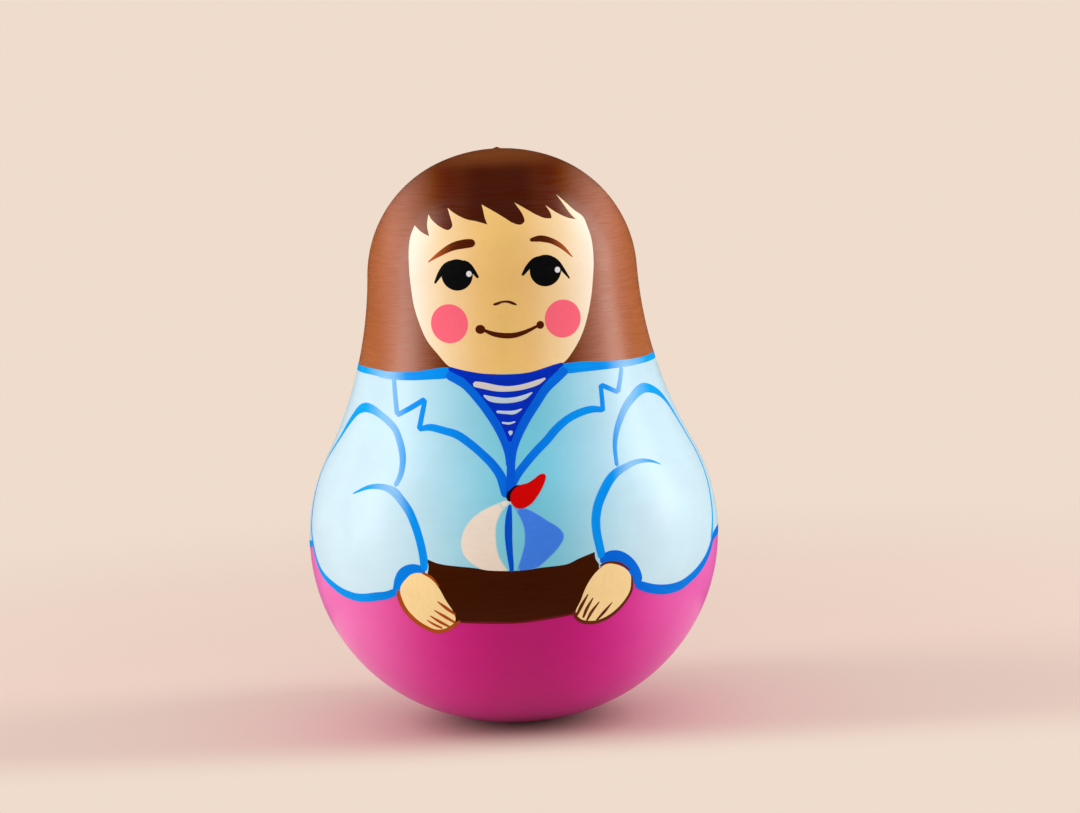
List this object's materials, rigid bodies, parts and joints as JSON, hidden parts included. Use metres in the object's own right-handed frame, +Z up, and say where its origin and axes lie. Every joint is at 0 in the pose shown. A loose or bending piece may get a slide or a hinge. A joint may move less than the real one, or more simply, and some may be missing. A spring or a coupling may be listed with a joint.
{
  "type": "roly poly toy",
  "caption": "Pear-shaped wooden roly poly doll that rocks upright on a weighted round base while a hanging striker inside rings a rod chime.",
  "frame": {"origin": "the middle of the small flat that the doll stands on, on its axis of turning", "axes": "+Z up along the axis of turning, the face looks along -Y, +X is at the viewer's right"},
  "size_m": [0.0784, 0.0784, 0.11],
  "materials": {
    "lower_paint": "limewood under satin magenta acrylic",
    "upper_paint": "limewood under satin painted acrylics, light blue jacket and brown hair",
    "ballast_iron": "as cast, oiled",
    "screw_steel": "zinc plated",
    "chime_steel": "rolled strip, satin",
    "rod_steel": "bright drawn",
    "wire_brass": "drawn wire, slightly dulled",
    "striker_brass": "turned"
  },
  "bodies": {
    "doll": {"lower_shell": "lower_paint", "upper_shell": "upper_paint", "ballast": "ballast_iron", "ballast_screw": "screw_steel", "ballast_washer": "screw_steel", "chime_base": "chime_steel", "chime_rod_1": "rod_steel", "chime_rod_2": "rod_steel", "chime_rod_3": "rod_steel", "chime_rod_4": "rod_steel", "striker_yoke": "chime_steel", "yoke_screws": "screw_steel", "hanger_eye": "wire_brass"},
    "link": {"link_ring": "wire_brass"},
    "striker": {"striker_stem": "wire_brass", "striker_head": "striker_brass", "stem_collars": "screw_steel"}
  },
  "joints": [
    {"name": "link_swing", "type": "hinge", "parent": "doll", "child": "link", "pos_m": [0, 0, 0.06356], "axis": [1, 0, 0], "range_deg": [-10.8, 10.8]},
    {"name": "striker_swing", "type": "hinge", "parent": "link", "child": "striker", "pos_m": [0, 0, 0.05896], "axis": [0, 1, 0], "range_deg": [-13.9, 13.9]}
  ]
}
